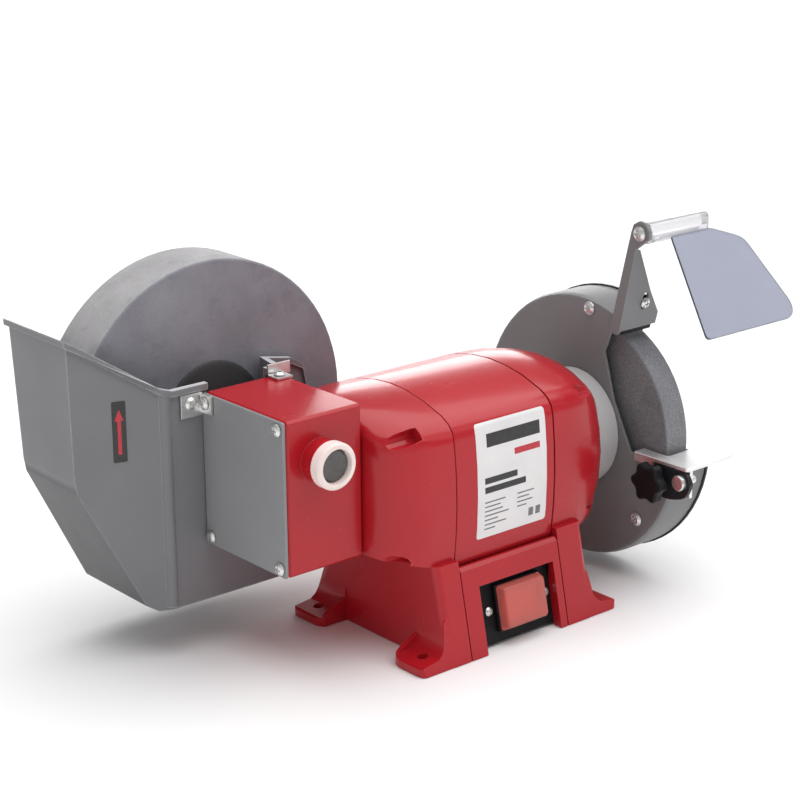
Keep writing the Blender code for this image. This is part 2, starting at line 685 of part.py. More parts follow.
def wet_spindle():
    """The wet wheel's shaft, its bearings, flanges, wheel and nut."""
    axis = (WET_X, WET_Z)
    bore = WET_SHAFT_RADIUS + RUNNING_GAP
    ring = [(bore, -46.0), (10.0, -46.0), (10.7, -52.3), (13.2, -52.3), (14.4, -51.0), (14.4, -44.8),
            (11.3, -44.8), (11.3, -32.0), (bore, -32.0)]
    lathe("front_bearing_ring", "cream_plastic", ring, "Y", axis, 36)
    bush = [(bore, 43.0), (11.3, 43.0), (11.3, 60.0), (bore, 60.0)]
    lathe("rear_bush", "bronze", bush, "Y", axis, 24)
    shaft = [(0, -49.5), (9.0, -49.5), (9.6, -48.9), (9.6, -46.4), (8.0, -46.4), (8.0, 123.6),
             (7.2, 124.4), (0, 124.4)]
    lathe("wet_shaft", "steel", shaft, "Y", axis, 24)
    hole = WET_SHAFT_RADIUS + 0.3
    near, far = WET_Y
    edge = WET_FLANGE_RADIUS
    inner = [(hole, near - 10.4), (13.0, near - 10.4), (14.0, near - 4.4), (edge - 3, near - 2.9),
             (edge, near - 1.9), (edge, near - 0.3), (hole, near - 0.3)]
    lathe("wet_inner_flange", "dark_steel", inner, "Y", axis, 40)
    outer = [(hole, far + 0.3), (edge, far + 0.3), (edge, far + 1.2), (edge - 3, far + 2.2),
             (14.0, far + 3.4), (hole, far + 3.4)]
    lathe("wet_outer_flange", "dark_steel", outer, "Y", axis, 32)
    wheel = [(10.2, near), (WET_RADIUS - 1.2, near), (WET_RADIUS, near + 1.2), (WET_RADIUS, far - 1.2),
             (WET_RADIUS - 1.2, far), (10.2, far)]
    lathe("wet_wheel", "grey_stone", wheel, "Y", axis, 72)
    hex_nut("wet_wheel_nut", "Y", (far + 3.7, far + 9.7), axis, 13.8, hole)


def hex_nut(name, axis, span, centre, radius, bore):
    """A hexagon nut with chamfered corners."""
    points = []
    for i in range(6):
        angle = math.pi * i / 3
        points.append((centre[0] + radius * math.cos(angle), centre[1] + radius * math.sin(angle)))
    nut = prism(name, "zinc", points, axis, span)
    low, high = span
    rim = radius * 0.9
    cone = [(0, low), (rim, low), (radius + 0.1, low + radius * 0.06), (radius + 0.1, high - radius * 0.06),
            (rim, high), (0, high)]
    common(nut, lathe("cone", None, cone, axis, centre, 24))
    cut(nut, rod("bore", None, bore, (low - 1, high + 1), axis, centre, 24))
    return nut


# ---------------------------------------------------------------- water trough

def trough_loft(inset, lip=0.0):
    """The trough's body before its rim is trimmed, drafted a little narrower towards the bottom."""
    rings = []
    for z, left, front, back in ((26.0, -228.0, 3.5, 122.5), (216.0, -233.4, 0.0, 129.0)):
        step = 66.9 + front * 0.35
        near = 46.6 + front * 0.2
        right = -17.0 - front * 0.4
        plan = [(left, 64.0 + front * 1.6), (-178.0, near), (-95.0, near), (-90.5, step),
                (right, step), (right, back), (left, back)]
        rings.append(offset_outline(plan, inset - lip))
    return loft("trough", "grey_paint", rings, "Z", (26.0, 216.0))


def offset_outline(outline, distance):
    """Move each side of a clockwise or anticlockwise outline inwards by the distance."""
    area = sum(a[0] * b[1] - b[0] * a[1] for a, b in zip(outline, outline[1:] + outline[:1]))
    turn = 1 if area > 0 else -1
    result = []
    for i, corner in enumerate(outline):
        here = Vector(corner)
        before = (here - Vector(outline[i - 1])).normalized()
        after = (Vector(outline[(i + 1) % len(outline)]) - here).normalized()
        normal_a = Vector((-before.y, before.x)) * turn
        normal_b = Vector((-after.y, after.x)) * turn
        middle = (normal_a + normal_b) / (1 + normal_a.dot(normal_b))
        result.append(tuple(here + middle * distance))
    return result


def trough_side(inset):
    """The trough's outline from the front, without its top: bottom facets follow the wheel."""
    lower = [(-250.0, 250.0), (-229.5, 114.0), (-193.0, 36.5), (-186.0, 32.0), (-88.0, 32.0), (-80.0, 35.0),
             (-17.0, 101.0), (-10.0, 250.0)]
    return offset_outline(lower, inset)


def trough_rim():
    """The rim's height from left to right: a high splash scoop, then level, then low by the motor."""
    return [(-260.0, 214.0), (-236.0, 211.0), (-226.0, 205.0), (-182.0, 175.0), (-174.0, 172.2),
            (-92.0, 172.2),
            (-70.0, 168.0), (-61.0, 163.0), (-56.0, 138.0), (-50.0, 134.0), (0.0, 134.0)]


def trough_rib():
    """The rounded rib up the trough's front left corner, leaning as the wall does."""
    rings = []
    for z, near in ((34.0, 47.3), (180.0, 46.7)):
        middle = (-177.4, near + 2.4)
        turn = [2 * math.pi * i / 16 for i in range(16)]
        rings.append([(middle[0] + 4.4 * math.cos(t), middle[1] + 4.4 * math.sin(t)) for t in turn])
    return loft("rib", None, rings, "Z", (34.0, 180.0))


def water_trough():
    """The wet wheel's water trough, open at the top, slotted on both sides for the shaft."""
    shell = trough_loft(0.0)
    common(shell, prism("side", None, trough_side(0.0), "Y", (0, 200)))
    join(shell, trough_rib())
    lip = trough_loft(0.0, lip=2.2)
    rim = trough_rim()
    band = rim + [(x, z - 4.0) for x, z in reversed(rim)]
    common(lip, prism("band", None, band, "Y", (0, 200)))
    join(shell, lip)
    space = trough_loft(TROUGH_WALL)
    common(space, prism("side", None, trough_side(TROUGH_WALL), "Y", (0, 200)))
    cut(shell, space)
    above = rim + [(0.0, 260.0), (-260.0, 260.0)]
    cut(shell, prism("above", None, above, "Y", (0, 200)))
    slot = [(WET_X - TROUGH_NOTCH, 250.0), (WET_X - TROUGH_NOTCH, WET_Z - 6)]
    for i in range(1, 8):
        angle = math.pi + math.pi * i / 8
        across, up = math.cos(angle), math.sin(angle)
        slot.append((WET_X + TROUGH_NOTCH * across, WET_Z - 6 + TROUGH_NOTCH * up))
    slot += [(WET_X + TROUGH_NOTCH, WET_Z - 6), (WET_X + TROUGH_NOTCH, 250.0)]
    cut(shell, prism("slot", None, slot, "Y", (0, 200)))
    shell.name = "water_trough"
    return shell


def trough_mounts():
    """Two bent tabs and their screws that hold the trough to the gearbox."""
    left = box("trough_tab_left", "zinc", (-168.0, -152.5), (44.6, 46.0), (153.0, 167.6))
    join(left, box("arm", None, (-154.0, -152.5), (34.0, 46.0), (155.0, 167.0)))
    cut(left, rod("hole", None, 2.35, (40.0, 50.0), "Y", TAB_SCREW, 8))
    cut(left, rod("hole", None, 2.35, (-156.0, -150.0), "X", (BOX_Y[1] - 5.5, BOX_Z[1] - 5.5), 8))
    right = box("trough_tab_right", "zinc", (-105.0, -88.0), (42.6, 44.0), (167.2, 175.0))
    join(right, box("foot", None, (-105.0, -93.0), (33.0, 44.0), (167.2, 168.6)))
    cut(right, rod("hole", None, 2.35, (160.0, 180.0), "Z", TOP_SCREW, 8))
    pan_screw("trough_screw_left", "Y", -1, 44.6, TAB_SCREW, 4.0, 5.0)
    pan_screw("trough_screw_right", "Z", 1, 168.6, TOP_SCREW, 3.6, 1.0)


def build_trough():
    """The trough with its tabs and screws."""
    trough = water_trough()
    cut(trough, rod("hole", None, 2.35, (40.0, 52.0), "Y", TAB_SCREW, 8))
    trough_mounts()


# ---------------------------------------------------------------- dry side

def guard():
    """The dry wheel's guard: a dished shell on a neck, its outer cover and screws."""
    low, high = GUARD_X
    outer = GUARD_RADIUS
    sheet = GUARD_SHEET
    neck = NECK_RADIUS
    collar = [(21.0, NECK_X), (neck - 2.5, NECK_X), (neck, NECK_X + 2.5), (neck, low - 0.3),
              (neck - sheet, low - 0.3), (neck - sheet, NECK_X + sheet), (21.0, NECK_X + sheet)]
    lathe("guard_neck", "guard_grey", collar, "X", (0, MOTOR_Z), 48)
    profile = [(neck - sheet, low), (outer - 4.0, low), (outer - 1.2, low + 1.2), (outer, low + 4.0),
               (outer, high), (outer - sheet, high), (outer - sheet, low + 4.6),
               (outer - 4.6, low + sheet), (neck - sheet, low + sheet)]
    shell = lathe("guard_shell", "guard_grey", profile, "X", (0, MOTOR_Z), 60)
    cut(shell, prism("opening", None, OPENING, "X", (112.0, 155.0)))
    face = high + 0.3
    dish = [(0, face + 20.4), (45.0, face + 20.4), (56.0, face + 15.4), (61.0, face + 1.8),
            (outer + 1.0, face + 1.8), (outer + 1.0, face), (59.6, face), (54.6, face + 14.0),
            (44.6, face + 18.6), (0, face + 18.6)]
    cover = lathe("guard_cover", "dark_steel", dish, "X", (0, MOTOR_Z), 60)
    cut(cover, prism("opening", None, OPENING, "X", (145.0, 180.0)))
    for number, (y, z) in enumerate(GUARD_SCREWS, 1):
        cut(shell, rod("hole", None, 2.6, (low - 2, low + 3), "X", (y, z), 8))
        cut(cover, rod("hole", None, 2.6, (face - 2, face + 4), "X", (y, z), 8))
        pan_screw(f"guard_screw_{number}", "X", -1, low, (y, z), 4.6, high - low + 3.0, 2.2)
    cut(shell, rod("stud hole", None, 3.4, (low - 2, low + 3), "X", REST_KNOB, 12))


def dry_spindle():
    """The dry wheel, its flanges and nut on the motor's shaft."""
    low, high = DRY_X
    axis = (0, MOTOR_Z)
    edge = DRY_FLANGE_RADIUS
    inner = [(6.65, low - 6.3), (13.0, low - 6.3), (14.0, low - 4.0), (edge - 2, low - 3.2),
             (edge, low - 2.0), (edge, low - 0.3), (6.65, low - 0.3)]
    lathe("dry_inner_flange", "steel", inner, "X", axis, 24)
    outer = [(6.65, high + 0.3), (edge, high + 0.3), (edge, high + 2.0), (edge - 2, high + 3.2),
             (6.65, high + 3.6)]
    lathe("dry_outer_flange", "steel", outer, "X", axis, 24)
    wheel = [(6.65, low), (DRY_RADIUS - 1, low), (DRY_RADIUS, low + 1), (DRY_RADIUS, high - 1),
             (DRY_RADIUS - 1, high), (6.65, high)]
    lathe("dry_wheel", "dry_stone", wheel, "X", axis, 64)
    hex_nut("dry_wheel_nut", "X", (high + 3.9, high + 13.9), axis, 11.0, 6.65)


def web_y(z):
    """The front face of the bracket's web, which leans forward going up."""
    return -40.5 - WEB_LEAN * (z - WEB_LOW)


def shield_bracket():
    """The arm welded to the guard that carries the eye shield, with a web across the guard's mouth."""
    arm_x = (116.2, 118.7)
    web_high = 229.0
    thick = WEB_THICK
    pivot_y, pivot_z = SHIELD_PIVOT
    eye = [(pivot_y + 8.0 * math.cos(math.radians(a)), pivot_z + 8.0 * math.sin(math.radians(a)))
           for a in (200, 160, 120, 80, 40, 0)]
    low_end = [(-45.9, 228.0), (-31.8, 171.0), (-38.0, 169.4)]
    outline = low_end + [(web_y(WEB_LOW), WEB_LOW), (web_y(web_high), web_high)] + eye
    bracket = prism("shield_bracket", "guard_grey", outline, "X", arm_x)
    side = [(web_y(WEB_LOW), WEB_LOW), (web_y(web_high), web_high),
            (web_y(web_high) + thick, web_high), (web_y(WEB_LOW) + thick, WEB_LOW)]
    web = prism("web", None, side, "X", (arm_x[0], 151.0))
    shape = [(arm_x[0] - 1, WEB_LOW - 2), (150.0, WEB_LOW - 2), (150.6, 180.0), (139.0, 197.0),
             (121.0, 228.0), (arm_x[0] - 1, 230.0)]
    common(web, prism("shape", None, shape, "Y", (-70, -20)))
    join(bracket, web)
    cut(bracket, rod("pivot hole", None, 3.1, (110.0, 125.0), "X", SHIELD_PIVOT, 16))
    x, z = ARRESTOR_SCREW
    slot = [(x - 2.6, z - 4.6), (x + 2.6, z - 4.6), (x + 2.6, z + 7.2), (x - 2.6, z + 7.2)]
    cut(bracket, prism("slot", None, round_corners(slot, 2.4, 3), "Y", (-70.0, -20.0)))


def spark_arrestor():
    """The plate over the wheel that stops sparks, and the screw that clamps it through the web's slot."""
    x, z = ARRESTOR_SCREW
    front = WEB_THICK + 0.4
    back = front + 2.4
    shape = [(122.4, 168.2), (149.0, 168.2), (149.0, 177.0), (x + 4.2, 178.5), (x + 4.2, z + 4.5),
             (x - 4.2, z + 4.5), (x - 4.2, 178.5), (122.4, 177.0)]
    bm = bmesh.new()
    rings = [[bm.verts.new((a, web_y(b) + deep, b)) for a, b in shape] for deep in (front, back)]
    join_rings(bm, rings)
    bm.faces.new(rings[0])
    bm.faces.new(rings[1])
    plate = finish("spark_arrestor", bm, "black_plastic")
    pivot = (0.0, web_y(z), z)
    lean = math.degrees(math.atan(WEB_LEAN))
    hole = rod("hole", None, 2.3, (web_y(z) - 8.0, web_y(z) + 12.0), "Y", (x, z), 12)
    cut(plate, lean_over(hole, lean, pivot))
    screw = pan_screw("arrestor_screw", "Y", -1, web_y(z), (x, z), 3.8, 5.2, 1.9)
    lean_over(screw, lean, pivot)
    return plate


def eye_shield():
    """The clear shield and the holder that it hangs from; both turn on the arm's pivot."""
    y0, z0 = SHIELD_PIVOT
    origin = (119.0, y0, z0)
    section = [(y0 - 6.5, z0 - 6.5), (y0 + 5.5, z0 - 6.5), (y0 + 5.5, z0 + 7.0), (y0 - 6.5, z0 + 7.0)]
    section = round_corners(section, 3.5, 3)
    holder = prism("shield_holder", "clear", section, "X", (119.0, 173.0), origin=origin)
    cut(holder, box("groove", None, (124.0, 174.0), (y0 - 4.0, y0 + 3.0), (z0 - 8.0, z0 - 1.0)))
    cut(holder, rod("pin hole", None, 2.9, (118.0, 122.5), "X", (y0, z0), 16))
    slope = math.radians(42.5)
    down = Vector((0, -math.cos(slope), -math.sin(slope)))
    normal = Vector((0, -math.sin(slope), math.cos(slope)))
    top = Vector((0, y0 - 7.2, z0 - 4.0))
    outline = [(136, 0.0), (172, 0.0), (195, 12.0), (198, 68.0), (191, 76.5), (110, 76.5)]
    outline = round_corners(outline, [2, 4, 6, 6, 5, 4], 3)
    bm = bmesh.new()
    rings = []
    for lift in (0.0, 1.6):
        start = top + normal * lift
        rings.append([bm.verts.new(start + Vector((x, 0, 0)) + down * v) for x, v in outline])
    join_rings(bm, rings)
    bm.faces.new(rings[0])
    bm.faces.new(rings[1])
    finish("eye_shield", bm, "clear", origin)
    pan_screw("shield_pivot_screw", "X", -1, 116.2, SHIELD_PIVOT, 5.0, 5.6, 2.6)


def tool_rest():
    """Bracket and table of the tool rest, with the star knob that clamps it and its bolt."""
    plate_x = (115.7, 118.6)
    outline = [(-66.0, 87.9), (-76.0, 87.9), (-76.0, 91.7), (-103.0, 91.7), (-107.5, 84.5),
               (-103.0, 74.0), (-90.0, 70.0), (-72.0, 70.0), (-66.0, 75.0)]
    outline = round_corners(outline, [2, 1, 1, 3, 3, 4, 4, 4, 3], 2)
    bracket = prism("tool_rest_bracket", "dark_steel", outline, "X", plate_x)
    y, z = REST_KNOB
    low, high = y - 3.6, y + REST_TRAVEL + 3.4
    slot = [(low, z - 3.5), (high, z - 3.5), (high, z + 3.5), (low, z + 3.5)]
    cut(bracket, prism("slot", None, round_corners(slot, 3.0, 3), "X", (112.0, 122.0)))
    cut(bracket, rod("bolt hole", None, 3.3, (112.0, 122.0), "X", REST_BOLT, 16))
    table = rest_table()
    cut(table, rod("bolt hole", None, 3.3, (112.0, 125.0), "X", REST_BOLT, 16))
    bolt = [(0, 111.8), (4.6, 111.8), (5.2, 112.4), (5.2, 115.4), (3.0, 115.4), (3.0, 127.0), (0, 127.0)]
    lathe("tool_rest_bolt", "zinc", bolt, "X", REST_BOLT, 16)
    knob = []
    lobes = 6
    for i in range(lobes * 5):
        angle = 2 * math.pi * i / (lobes * 5)
        radius = 12.4 + 1.7 * math.cos(lobes * angle)
        knob.append((y + radius * math.cos(angle), z + radius * math.sin(angle)))
    star = prism("rest_knob", "black_plastic", knob, "X", (103.6, 111.4), 1.2, (115.0, y, z))
    join(star, rod("collar", None, 6.0, (111.0, 115.4), "X", REST_KNOB, 16))
    join(star, rod("stud", None, 3.0, (115.0, 124.0), "X", REST_KNOB, 12))
    return star


def rest_table():
    """The rest's table: in front of the wheel, with an arm back along its side and a bolted flange."""
    plan = [(115.7, -57.0), (115.7, -104.0), (160.0, -104.0), (160.0, -78.4), (125.4, -78.4),
            (125.4, -57.0)]
    plan = round_corners(plan, [1, 2, 3, 2, 1, 1], 2)
    table = prism("tool_rest_table", "zinc", plan, "Z", (92.1, 94.8), 0.4)
    join(table, box("lip", None, (115.9, 118.4), (-74.6, -57.6), (88.6, 93.4)))
    join(table, box("flange", None, (118.9, 121.4), (-103.6, -91.0), (74.0, 93.4)))
    return table


# ---------------------------------------------------------------- switch and cable inlet

def switch():
    """The recessed black panel with the rocker switch, its clear cover and two screws."""
    middle_x = (SWITCH_X[0] + SWITCH_X[1]) / 2
    middle_z = (SWITCH_Z[0] + SWITCH_Z[1]) / 2
    neck_x = (SWITCH_X[0] + 3.0, SWITCH_X[1] - 3.0)
    neck_z = (SWITCH_Z[0] + 2.0, SWITCH_Z[1] - 3.4)
    well_top = neck_z[1] - 1.6
    face = PANEL_Y[0] - 0.3
    panel = box("switch_panel", "black_plastic", PANEL_X, PANEL_Y, PANEL_Z, 0.3)
    cut(panel, box("cut-out", None, (neck_x[0] - 0.3, neck_x[1] + 0.3), (-70, -60),
                   (neck_z[0] - 0.3, SWITCH_Z[1] - 3.0)))
    body = box("switch_body", "black_plastic", SWITCH_X, (face - 3.0, face), SWITCH_Z, 0.5)
    join(body, box("neck", None, neck_x, (face - 1.0, -38.0), neck_z))
    cut(body, box("well", None, (neck_x[0] + 1.6, neck_x[1] - 1.6), (-90.0, -54.0),
                  (neck_z[0] + 1.6, well_top)))
    pivot = (middle_x, face - 2.6, (neck_z[0] + 1.6 + well_top) / 2)
    rocker = power_rocker(pivot, (neck_x[0] + 2.2, neck_x[1] - 2.2))
    cover = switch_cover(face - 3.3)
    leaning = [panel, body, rocker, cover]
    for name, x in (("left", middle_x - 24.0), ("right", middle_x + 24.0)):
        cut(panel, rod("hole", None, 2.1, (-70, -60), "Y", (x, middle_z - 0.6), 12))
        screw = pan_screw(f"panel_screw_{name}", "Y", -1, PANEL_Y[0], (x, middle_z - 0.6), 3.0, 6.0, 1.8)
        leaning.append(screw)
    for obj in leaning:
        lean_over(obj, -PANEL_LEAN, (0.0, PANEL_Y[0], 22.0))


def power_rocker(pivot, span):
    """The rocker, its face two slopes that meet at the middle."""
    half_z = 10.0
    deep = 7.0
    half = [(-2.0, half_z), (0.8, 0.0), (-2.0, -half_z), (deep, -half_z * 0.55), (deep, half_z * 0.55)]
    outline = []
    tilt = math.radians(ROCKER_TILT)
    for out, up in half:
        y = out * math.cos(tilt) - up * math.sin(tilt)
        z = out * math.sin(tilt) + up * math.cos(tilt)
        outline.append((pivot[1] + y, pivot[2] + z))
    return prism("power_rocker", "rocker_red", outline, "X", span, 0.4, pivot)


def switch_cover(back):
    """The soft clear cover over the rocker, hollow and open at the back through the switch."""
    low = (SWITCH_X[0] + 0.6, SWITCH_Z[0] + 0.6)
    high = (SWITCH_X[1] - 0.6, SWITCH_Z[1] - 0.6)
    front = back - 6.5

    def layer(inset, radius):
        near = (low[0] + inset, low[1] + inset)
        return rounded_rectangle(near, (high[0] - inset, high[1] - inset), radius, 2)

    rings = [layer(0.0, 2.0), layer(1.6, 2.0), layer(2.6, 2.0)]
    cover = loft("switch_cover", "cover_red", rings, "Y", (back, front + 1.0, front))
    inner = [layer(1.2, 1.6), layer(3.0, 1.6)]
    cut(cover, loft("space", None, inner, "Y", (back + 1.0, front + 1.2)))
    return cover


def cable_gland():
    """The inlet bush on the back of the base."""
    face = GLAND_Y + 0.3
    profile = [(4.2, face - 10.6), (8.0, face - 10.6), (8.0, face), (12.0, face), (12.0, face + 2.7),
               (9.0, face + 3.7), (8.0, face + 13.7), (4.2, face + 13.7)]
    lathe("cable_gland", "black_plastic", profile, "Y", GLAND, 16)


def main():
    clear_scene()
    end_casting("left_end_casting", -1)
    end_casting("right_end_casting", 1)
    centre_shell()
    base_frame()
    base_plate()
    motor_inside()
    motor_rotor()
    worm()
    worm_wheel()
    gearbox()
    wet_spindle()
    build_trough()
    guard()
    dry_spindle()
    shield_bracket()
    spark_arrestor()
    eye_shield()
    tool_rest()
    switch()
    cable_gland()


main()
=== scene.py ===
"""Looks of the wet and dry bench grinder: finishes, labels, light and camera."""
import json
import math

import bmesh
import bpy
from mathutils import Matrix, Vector
from mathutils.bvhtree import BVHTree


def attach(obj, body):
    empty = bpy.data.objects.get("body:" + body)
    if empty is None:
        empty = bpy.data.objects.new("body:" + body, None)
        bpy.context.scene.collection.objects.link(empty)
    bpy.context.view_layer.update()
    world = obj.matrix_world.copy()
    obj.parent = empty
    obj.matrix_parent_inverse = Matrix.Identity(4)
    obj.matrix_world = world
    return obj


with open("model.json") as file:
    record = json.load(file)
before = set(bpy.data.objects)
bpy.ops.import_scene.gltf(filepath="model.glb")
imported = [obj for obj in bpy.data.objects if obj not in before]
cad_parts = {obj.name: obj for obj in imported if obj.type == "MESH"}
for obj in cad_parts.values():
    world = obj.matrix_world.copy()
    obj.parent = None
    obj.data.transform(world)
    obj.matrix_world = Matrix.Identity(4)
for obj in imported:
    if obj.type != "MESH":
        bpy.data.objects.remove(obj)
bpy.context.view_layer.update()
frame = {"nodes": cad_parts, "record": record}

MM = 0.001
nodes = frame["nodes"]
scene = bpy.context.scene

# ---------------------------------------------------------------- camera

AZIMUTH = math.radians(39.9)     # to the left of straight ahead
ELEVATION = math.radians(17.7)
ROLL = math.radians(-0.47)
DISTANCE = 1.315
AIM = Vector((-0.017, 0.022, 0.139))
SENSOR = 36.0
FOCAL = 93.1
CLIP_START = 0.01


def add_camera():
    """A long lens from the front left, a little above."""
    back = Vector((-math.sin(AZIMUTH) * math.cos(ELEVATION),
                   -math.cos(AZIMUTH) * math.cos(ELEVATION),
                   math.sin(ELEVATION)))
    right = Vector((math.cos(AZIMUTH), -math.sin(AZIMUTH), 0.0))
    up = back.cross(right)
    rolled_right = math.cos(ROLL) * right + math.sin(ROLL) * up
    rolled_up = math.cos(ROLL) * up - math.sin(ROLL) * right
    data = bpy.data.cameras.new("camera")
    data.sensor_width = SENSOR
    data.lens = FOCAL
    data.clip_start = CLIP_START
    camera = bpy.data.objects.new("camera", data)
    matrix = Matrix((rolled_right, rolled_up, back)).transposed().to_4x4()
    matrix.translation = AIM + back * DISTANCE
    camera.matrix_world = matrix
    scene.collection.objects.link(camera)
    scene.camera = camera


# ---------------------------------------------------------------- node helpers

class Finish:
    """A procedural material; its methods add nodes and return their outputs."""

    def __init__(self, name):
        self.name = name
        self.material = bpy.data.materials.new(name)
        self.material.use_nodes = True
        self.tree = self.material.node_tree
        self.shader = self.tree.nodes["Principled BSDF"]
        self.place = self.add("ShaderNodeTexCoord").outputs["Object"]

    def add(self, kind, **values):
        """A new node with its properties set."""
        node = self.tree.nodes.new(kind)
        for key, value in values.items():
            setattr(node, key, value)
        return node

    def link(self, source, target):
        self.tree.links.new(source, target)

    def set(self, **values):
        """Constant shader sockets, with underscores for the spaces in their names."""
        for key, value in values.items():
            self.shader.inputs[key.replace("_", " ")].default_value = value
        return self

    def stretched(self, scale):
        """Object coordinates scaled differently on each axis, for brushed or drawn marks."""
        node = self.add("ShaderNodeMapping")
        node.inputs["Scale"].default_value = scale
        self.link(self.place, node.inputs["Vector"])
        return node.outputs["Vector"]

    def noise(self, scale, detail=3.0, roughness=0.55, vector=None):
        """Noise whose marks are about 1/scale metres across."""
        node = self.add("ShaderNodeTexNoise")
        node.inputs["Scale"].default_value = scale
        node.inputs["Detail"].default_value = detail
        node.inputs["Roughness"].default_value = roughness
        self.link(vector or self.place, node.inputs["Vector"])
        return node.outputs["Fac"]

    def cells(self, scale):
        """Distance to the nearest of many scattered points, for pores."""
        node = self.add("ShaderNodeTexVoronoi")
        node.inputs["Scale"].default_value = scale
        self.link(self.place, node.inputs["Vector"])
        return node.outputs["Distance"]

    def wave(self, scale, distortion, **kind):
        """Regular lines or rings."""
        node = self.add("ShaderNodeTexWave", **kind)
        node.inputs["Scale"].default_value = scale
        node.inputs["Distortion"].default_value = distortion
        self.link(self.place, node.inputs["Vector"])
        return node.outputs["Fac"]

    def ramp(self, factor, *stops):
        """A grey ramp through (position, value) stops."""
        node = self.add("ShaderNodeValToRGB")
        for element, (position, value) in zip(node.color_ramp.elements, stops):
            element.position = position
            element.color = (value, value, value, 1.0)
        self.link(factor, node.inputs["Fac"])
        return node.outputs["Color"]

    def math(self, operation, a, b):
        """Arithmetic on two values, each a number or an output."""
        node = self.add("ShaderNodeMath", operation=operation)
        for socket, value in zip(node.inputs, (a, b)):
            if isinstance(value, (int, float)):
                socket.default_value = value
            else:
                self.link(value, socket)
        return node.outputs["Value"]

    def mix(self, factor, a, b, blend="MIX"):
        """Mix two colours, each a tuple or an output."""
        node = self.add("ShaderNodeMix", data_type="RGBA", blend_type=blend)
        for name, value in (("Factor_Float", factor), ("A_Color", a), ("B_Color", b)):
            socket = next(s for s in node.inputs if s.identifier == name)
            if isinstance(value, tuple):
                socket.default_value = (*value, 1.0)
            elif isinstance(value, (int, float)):
                socket.default_value = value
            else:
                self.link(value, socket)
        return next(s for s in node.outputs if s.identifier == "Result_Color")

    def edges(self, radius, low=0.015, high=0.12):
        """White along sharp edges, from how far a rounded normal leans from the flat one."""
        bevel = self.add("ShaderNodeBevel", samples=4)
        bevel.inputs["Radius"].default_value = radius
        flat = self.add("ShaderNodeNewGeometry").outputs["Normal"]
        dot = self.add("ShaderNodeVectorMath", operation="DOT_PRODUCT")
        self.link(bevel.outputs["Normal"], dot.inputs[0])
        self.link(flat, dot.inputs[1])
        lean = self.math("SUBTRACT", 1.0, dot.outputs["Value"])
        return self.ramp(lean, (low, 0.0), (high, 1.0))

    def facing(self, axis):
        """One component of the object-space normal."""
        parts = self.add("ShaderNodeSeparateXYZ")
        self.link(self.add("ShaderNodeTexCoord").outputs["Normal"], parts.inputs["Vector"])
        return parts.outputs[axis]

    def colour(self, output):
        self.link(output, self.shader.inputs["Base Color"])

    def roughness(self, factor, low, high):
        """Roughness that runs from low to high with the factor."""
        node = self.add("ShaderNodeMapRange")
        node.inputs["To Min"].default_value = low
        node.inputs["To Max"].default_value = high
        self.link(factor, node.inputs["Value"])
        self.link(node.outputs["Result"], self.shader.inputs["Roughness"])
        return self

    def bump(self, *layers):
        """Stack bump layers given as (height output, strength, distance)."""
        normal = None
        for height, strength, distance in layers:
            node = self.add("ShaderNodeBump")
            node.inputs["Strength"].default_value = strength
            node.inputs["Distance"].default_value = distance
            self.link(height, node.inputs["Height"])
            if normal is not None:
                self.link(normal, node.inputs["Normal"])
            normal = node.outputs["Normal"]
        self.link(normal, self.shader.inputs["Normal"])
        return self


# ---------------------------------------------------------------- finishes

def scaled(colour, share):
    return tuple(share * c for c in colour)


def paint(name, light, dark, worn, gloss, peel, rub, coat=0.0, painted_light_share=0.0):
    """Sprayed paint: drifting tone, orange peel, and edges rubbed paler.

    With a share given, as on the trough, only square edges are rubbed, in a wider pale line that
    is wear and also a painted highlight; faces that look up are paler by that share as a painted
    highlight, and faces that look down are darker as painted shade.
    """
    f = Finish(name)
    drift = f.noise(9.0)
    tone = f.mix(f.ramp(drift, (0.35, 0.0), (0.68, 1.0)), light, dark)
    # on the trough this wider pale edge line is wear and also a painted highlight along its square
    # edges, the top edge most
    wear_and_highlight_line = f.edges(1.8 * MM, 0.13, 0.25) if painted_light_share else f.edges(0.9 * MM)
    patches = f.ramp(f.noise(180.0, 4.0), (0.30, 0.4), (0.60, 1.0))
    rubbed = f.math("MULTIPLY", wear_and_highlight_line, patches)
    tone = f.mix(f.math("MULTIPLY", rubbed, rub), tone, worn)
    if painted_light_share:
        # painted highlight: faces that look up are painted paler
        above = f.ramp(f.facing("Z"), (0.15, 0.0), (0.70, 1.0))
        tone = f.mix(f.math("MULTIPLY", above, painted_light_share), tone, worn)
        # painted shade: faces that look down are painted darker
        down = f.math("MULTIPLY", f.facing("Z"), -1.0)
        painted_shade = f.ramp(down, (0.15, 0.0), (0.32, 0.80))
        tone = f.mix(painted_shade, tone, scaled(dark, 0.35))
    f.colour(tone)
    f.roughness(f.noise(60.0, 4.0), gloss - 0.04, gloss + 0.07)
    f.bump((f.noise(300.0, 2.0), peel, 0.10 * MM), (f.noise(2400.0, 2.0), peel, 0.02 * MM))
    return f.set(Coat_Weight=coat, Coat_Roughness=0.10, Specular_IOR_Level=0.28)


def metal(name, light, dark, gloss, lines):
    """Bare or plated metal with drawn or brushed marks; lines is their density on each axis."""
    f = Finish(name)
    brushed = f.noise(1.0, vector=f.stretched(lines))
    cloud = f.noise(45.0, 4.0)
    bright = f.ramp(f.math("MULTIPLY", brushed, cloud), (0.12, 0.0), (0.42, 1.0))
    f.colour(f.mix(bright, dark, light))
    f.roughness(brushed, gloss - 0.07, gloss + 0.14)
    f.bump((brushed, 0.25, 0.05 * MM), (f.noise(900.0), 0.15, 0.04 * MM))
    return f.set(Metallic=1.0)


